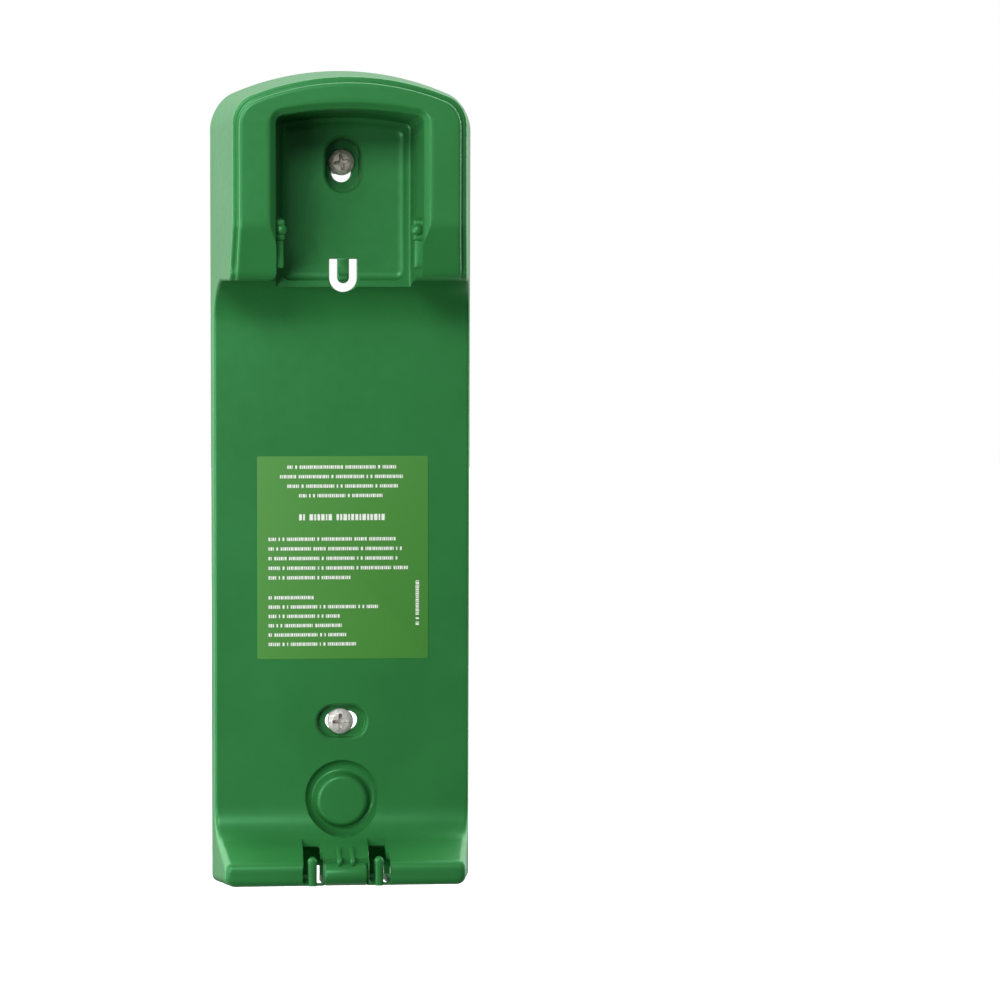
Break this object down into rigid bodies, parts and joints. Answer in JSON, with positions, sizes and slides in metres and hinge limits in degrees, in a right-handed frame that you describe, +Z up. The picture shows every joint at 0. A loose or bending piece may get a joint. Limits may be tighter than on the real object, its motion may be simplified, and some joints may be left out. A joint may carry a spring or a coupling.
{
  "type": "eyewash bottle wall holder",
  "caption": "Tall green wall holder for an eyewash bottle: arched hood with an open cap pocket, flat back panel with a label, and a ledge for the base.",
  "frame": {"origin": "on the wall plane, in the middle of the holder's back", "axes": "+Z up, +Y into the wall, front of the holder faces -Y, +X to the right as seen from the front"},
  "size_m": [0.0888, 0.0824, 0.2778],
  "materials": {
    "green_plastic": "satin, fine moulded grain",
    "label_film": "smooth printed film",
    "label_ink": "flat print",
    "zinc_steel": "zinc plated",
    "plug_nylon": "moulded"
  },
  "bodies": {
    "holder": {"holder": "green_plastic", "label": "label_film", "label_print": "label_ink"},
    "tongue": {"tongue": "green_plastic"},
    "hook_left": {"hook_left": "green_plastic"},
    "hook_right": {"hook_right": "green_plastic"},
    "upper_fixing": {"screw_upper": "zinc_steel", "plug_upper": "plug_nylon"},
    "lower_fixing": {"screw_lower": "zinc_steel", "plug_lower": "plug_nylon"}
  },
  "joints": [
    {"name": "tongue_flex", "type": "hinge", "parent": "holder", "child": "tongue", "pos_m": [0, -0.012, 0.0749], "axis": [1, 0, 0], "range_deg": [-4, 8], "stiffness_Nm_per_rad": 0.2},
    {"name": "hook_left_flex", "type": "hinge", "parent": "holder", "child": "hook_left", "pos_m": [-0.01125, -0.0266, -0.1331], "axis": [1, 0, 0], "range_deg": [-5, 5], "stiffness_Nm_per_rad": 0.3},
    {"name": "hook_right_flex", "type": "hinge", "parent": "holder", "child": "hook_right", "pos_m": [0.01125, -0.0266, -0.1331], "axis": [1, 0, 0], "range_deg": [-5, 5], "stiffness_Nm_per_rad": 0.3},
    {"name": "upper_fixing_slide", "type": "slide", "parent": "holder", "child": "upper_fixing", "axis": [0, 0, 1], "range_m": [-0.0044, 0.0021]},
    {"name": "lower_fixing_slide", "type": "slide", "parent": "holder", "child": "lower_fixing", "axis": [1, 0, 0], "range_m": [-0.0029, 0.0037]}
  ]
}
